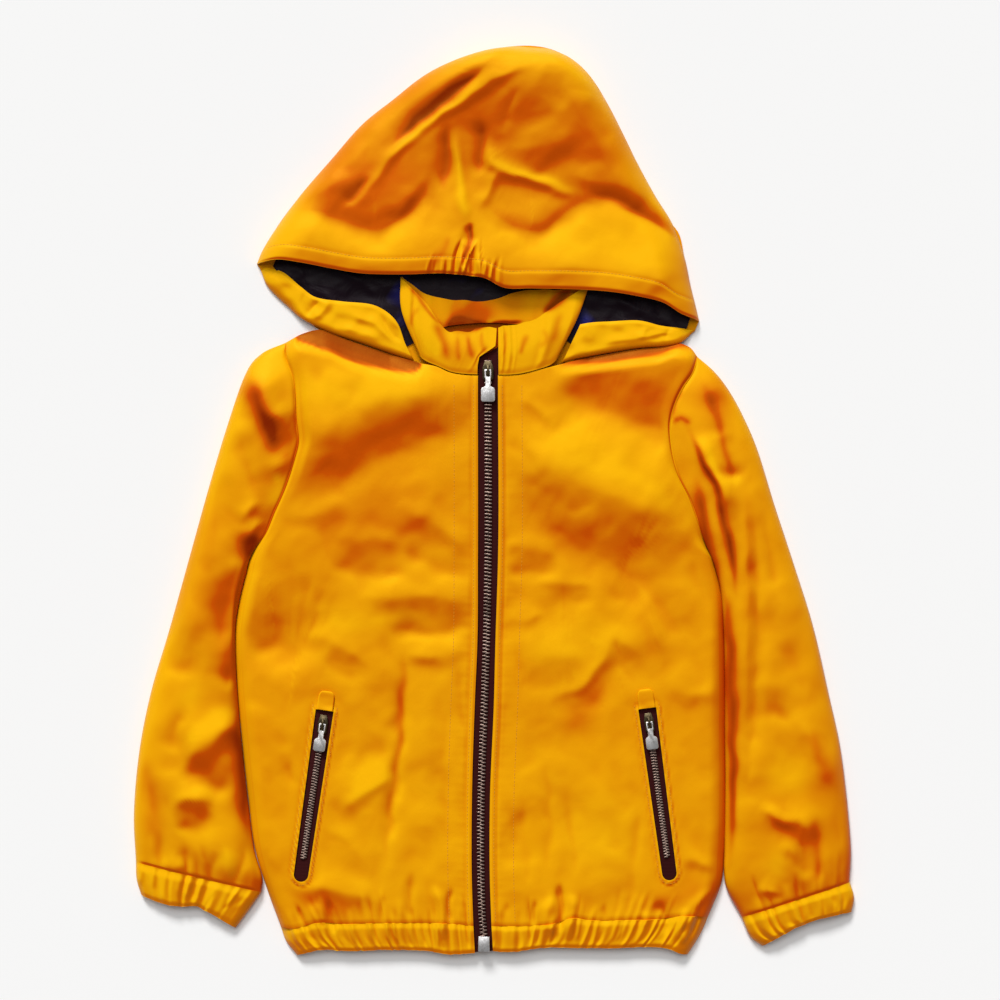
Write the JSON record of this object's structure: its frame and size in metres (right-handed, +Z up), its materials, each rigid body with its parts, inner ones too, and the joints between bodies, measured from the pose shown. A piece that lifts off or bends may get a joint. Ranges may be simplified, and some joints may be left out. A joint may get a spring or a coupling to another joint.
{
  "type": "child's hooded raincoat",
  "caption": "Hooded child's raincoat in coated cotton, shown lying flat with its front zip closed, gathered hem and cuffs, stand collar and slanted zip pockets.",
  "frame": {"origin": "middle of the whole raincoat's outline, on the surface that it lies on", "axes": "+Y from hem to hood, +X to the right as seen from above, +Z up from the surface"},
  "size_m": [0.5748, 0.7265, 0.0257],
  "materials": {
    "coated_cotton": "satin",
    "navy_lining": "satin",
    "zip_tape": "matte",
    "zip_metal": "polished",
    "slider_metal": "satin"
  },
  "bodies": {
    "coat": {"back_panel": "coated_cotton", "front_left_panel": "coated_cotton", "front_right_panel": "coated_cotton", "hem_band_left": "coated_cotton", "hem_band_right": "coated_cotton", "hem_band_back": "coated_cotton", "sleeve_left": "coated_cotton", "sleeve_right": "coated_cotton", "cuff_left": "coated_cotton", "cuff_right": "coated_cotton", "collar": "coated_cotton", "hood_upper": "coated_cotton", "hood_under": "coated_cotton", "brim_casing": "coated_cotton", "hood_left_edge": "coated_cotton", "hood_right_edge": "coated_cotton", "hood_lining": "navy_lining", "zip_tape_left": "zip_tape", "zip_tape_right": "zip_tape", "zip_chain": "zip_metal", "zip_slider": "slider_metal", "zip_box": "zip_metal", "pocket_left_tape": "zip_tape", "pocket_left_chain": "zip_metal", "pocket_left_slider": "slider_metal", "pocket_left_tab": "coated_cotton", "pocket_right_tape": "zip_tape", "pocket_right_chain": "zip_metal", "pocket_right_slider": "slider_metal", "pocket_right_tab": "coated_cotton"},
    "main_pull": {"zip_pull": "zip_metal"},
    "left_pocket_pull": {"pocket_left_pull": "zip_metal"},
    "right_pocket_pull": {"pocket_right_pull": "zip_metal"}
  },
  "joints": [
    {"name": "main_pull_hinge", "type": "hinge", "parent": "coat", "child": "main_pull", "pos_m": [-0.0048, 0.1032, 0.01407], "axis": [-1, 0, 0], "range_deg": [0, 150]},
    {"name": "left_pocket_pull_hinge", "type": "hinge", "parent": "coat", "child": "left_pocket_pull", "pos_m": [-0.13636, -0.17849, 0.01455], "axis": [-0.9898, 0.1422, 0], "range_deg": [0, 150]},
    {"name": "right_pocket_pull_hinge", "type": "hinge", "parent": "coat", "child": "right_pocket_pull", "pos_m": [0.12347, -0.1769, 0.01455], "axis": [-0.9911, -0.1333, 0], "range_deg": [0, 150]}
  ]
}
